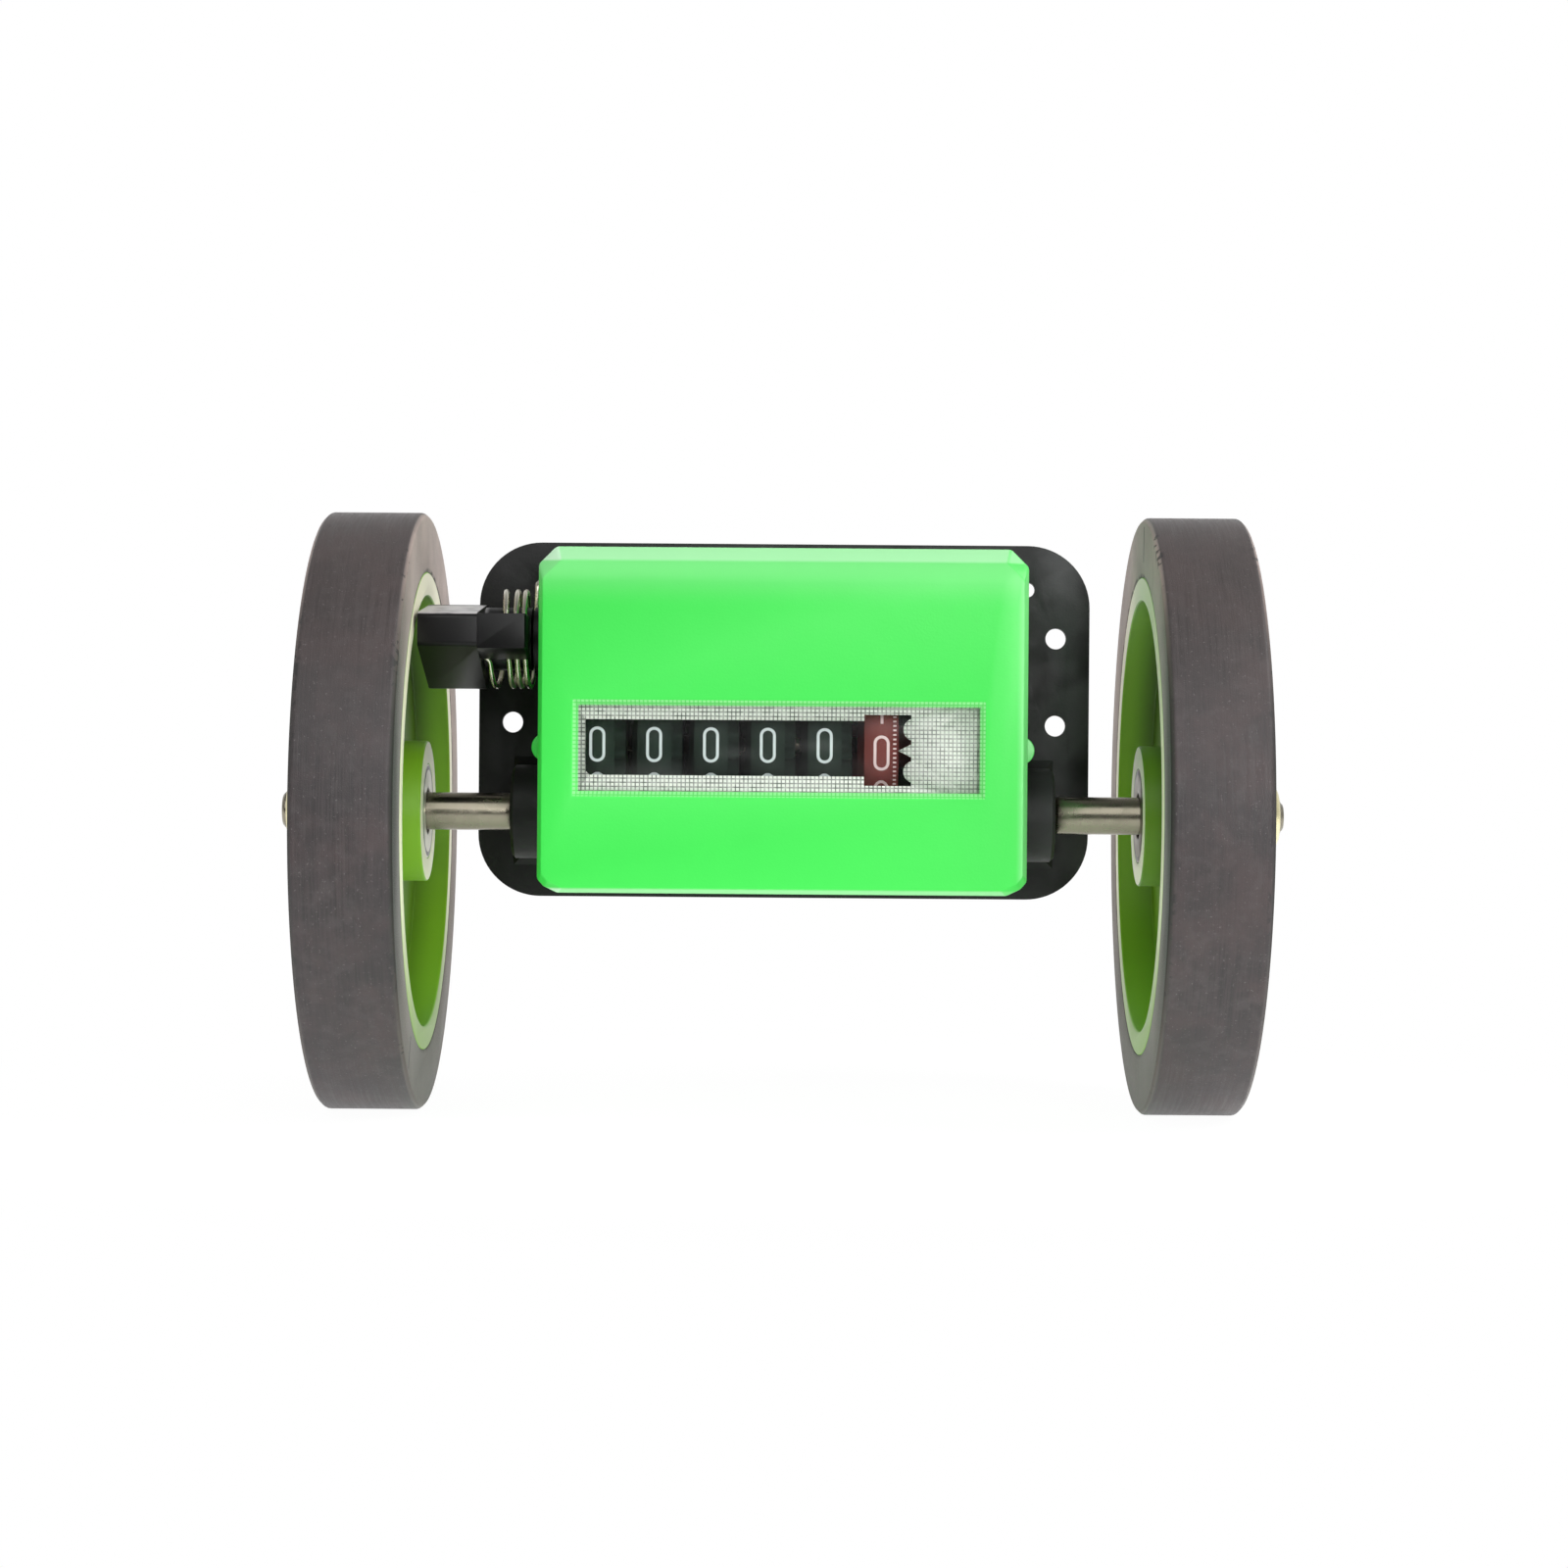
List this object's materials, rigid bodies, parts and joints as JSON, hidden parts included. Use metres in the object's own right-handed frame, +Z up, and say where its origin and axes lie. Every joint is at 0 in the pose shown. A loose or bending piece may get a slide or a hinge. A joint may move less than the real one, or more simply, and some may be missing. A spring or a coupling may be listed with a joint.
{
  "type": "cable length counter",
  "caption": "Rolling cable length counter: two rubber-tyred wheels on a steel shaft drive number wheels behind a window in a bevelled case with a reset lever.",
  "frame": {"origin": "on the wheel shaft's axis, midway between the wheels, which is also the centre of the bounding box", "axes": "+X along the wheel shaft to the reader's right, +Z up, -Y out of the window towards the reader"},
  "size_m": [0.1604, 0.0954, 0.0954],
  "materials": {
    "frame_black": "black moulded plastic with a soft gloss",
    "cover_green": "bright green moulded plastic",
    "lens_clear": "clear plastic window",
    "mask_silver": "silver sheet with a fine square grid",
    "bush_bronze": "plain bronze",
    "steel": "ground steel",
    "insert_steel": "turned steel",
    "wheel_green": "yellow-green moulded plastic",
    "tyre_rubber": "dark grey rubber with fine ground streaks",
    "brass": "pale polished brass",
    "gear_ivory": "ivory moulded plastic",
    "comb_ivory": "ivory moulded plastic",
    "digit_black": "black moulded plastic",
    "digit_red": "dark red moulded plastic",
    "lever_black": "black moulded plastic",
    "spring_steel": "bright spring wire"
  },
  "bodies": {
    "housing": {"base_frame": "frame_black", "cover": "cover_green", "window_lens": "lens_clear", "digit_mask": "mask_silver", "shaft_bush_left": "bush_bronze", "shaft_bush_right": "bush_bronze", "number_axle": "steel", "carry_axle": "steel", "idler_axle": "steel", "axle_spacer": "steel"},
    "rolling_shaft": {"input_shaft": "steel", "shaft_sleeve": "steel", "wheel_left": "wheel_green", "wheel_right": "wheel_green", "tyre_left": "tyre_rubber", "tyre_right": "tyre_rubber", "hub_insert_left": "insert_steel", "hub_insert_right": "insert_steel", "collar_left": "brass", "collar_right": "brass", "input_gear": "gear_ivory"},
    "idler": {"idler_gear": "gear_ivory"},
    "digit_1": {"number_wheel_1": "digit_red", "drum_gear": "gear_ivory"},
    "digit_2": {"number_wheel_2": "digit_black"},
    "digit_3": {"number_wheel_3": "digit_black"},
    "digit_4": {"number_wheel_4": "digit_black"},
    "digit_5": {"number_wheel_5": "digit_black"},
    "digit_6": {"number_wheel_6": "digit_black"},
    "carry_1": {"carry_pinion_1": "gear_ivory"},
    "carry_2": {"carry_pinion_2": "gear_ivory"},
    "carry_3": {"carry_pinion_3": "gear_ivory"},
    "carry_4": {"carry_pinion_4": "gear_ivory"},
    "carry_5": {"carry_pinion_5": "gear_ivory"},
    "reset": {"reset_shaft": "steel", "reset_clip": "steel", "reset_comb": "comb_ivory", "reset_lever": "lever_black", "reset_spring": "spring_steel"}
  },
  "joints": [
    {"name": "shaft_spin", "type": "hinge", "parent": "housing", "child": "rolling_shaft", "pos_m": [0, 0, 0], "axis": [1, 0, 0], "continuous": true},
    {"name": "idler_spin", "type": "hinge", "parent": "housing", "child": "idler", "pos_m": [0, -0.00036, 0.01199], "axis": [1, 0, 0], "continuous": true},
    {"name": "digit_1_spin", "type": "hinge", "parent": "housing", "child": "digit_1", "pos_m": [0, -0.0123, 0.0108], "axis": [1, 0, 0], "continuous": true},
    {"name": "digit_2_spin", "type": "hinge", "parent": "housing", "child": "digit_2", "pos_m": [0, -0.0123, 0.0108], "axis": [1, 0, 0], "continuous": true},
    {"name": "digit_3_spin", "type": "hinge", "parent": "housing", "child": "digit_3", "pos_m": [0, -0.0123, 0.0108], "axis": [1, 0, 0], "continuous": true},
    {"name": "digit_4_spin", "type": "hinge", "parent": "housing", "child": "digit_4", "pos_m": [0, -0.0123, 0.0108], "axis": [1, 0, 0], "continuous": true},
    {"name": "digit_5_spin", "type": "hinge", "parent": "housing", "child": "digit_5", "pos_m": [0, -0.0123, 0.0108], "axis": [1, 0, 0], "continuous": true},
    {"name": "digit_6_spin", "type": "hinge", "parent": "housing", "child": "digit_6", "pos_m": [0, -0.0123, 0.0108], "axis": [1, 0, 0], "continuous": true},
    {"name": "carry_1_spin", "type": "hinge", "parent": "housing", "child": "carry_1", "pos_m": [0, -0.0123, -0.0025], "axis": [1, 0, 0], "continuous": true},
    {"name": "carry_2_spin", "type": "hinge", "parent": "housing", "child": "carry_2", "pos_m": [0, -0.0123, -0.0025], "axis": [1, 0, 0], "continuous": true},
    {"name": "carry_3_spin", "type": "hinge", "parent": "housing", "child": "carry_3", "pos_m": [0, -0.0123, -0.0025], "axis": [1, 0, 0], "continuous": true},
    {"name": "carry_4_spin", "type": "hinge", "parent": "housing", "child": "carry_4", "pos_m": [0, -0.0123, -0.0025], "axis": [1, 0, 0], "continuous": true},
    {"name": "carry_5_spin", "type": "hinge", "parent": "housing", "child": "carry_5", "pos_m": [0, -0.0123, -0.0025], "axis": [1, 0, 0], "continuous": true},
    {"name": "reset_press", "type": "hinge", "parent": "housing", "child": "reset", "pos_m": [0, -0.0054, 0.0275], "axis": [1, 0, 0], "range_deg": [0, 35], "stiffness_Nm_per_rad": 0.03, "springref_deg": -11.46, "deforming": ["reset_spring"]}
  ],
  "couplings": [
    {"joint": "idler_spin", "follows": "shaft_spin", "ratio": -0.6},
    {"joint": "digit_1_spin", "follows": "shaft_spin", "ratio": 0.3},
    {"joint": "digit_2_spin", "follows": "shaft_spin", "ratio": 0.03},
    {"joint": "digit_3_spin", "follows": "shaft_spin", "ratio": 0.003},
    {"joint": "digit_4_spin", "follows": "shaft_spin", "ratio": 0.0003},
    {"joint": "digit_5_spin", "follows": "shaft_spin", "ratio": 0.00003},
    {"joint": "digit_6_spin", "follows": "shaft_spin", "ratio": 0.000003},
    {"joint": "carry_1_spin", "follows": "shaft_spin", "ratio": -0.075},
    {"joint": "carry_2_spin", "follows": "shaft_spin", "ratio": -0.0075},
    {"joint": "carry_3_spin", "follows": "shaft_spin", "ratio": -0.00075},
    {"joint": "carry_4_spin", "follows": "shaft_spin", "ratio": -0.000075},
    {"joint": "carry_5_spin", "follows": "shaft_spin", "ratio": -0.0000075}
  ]
}
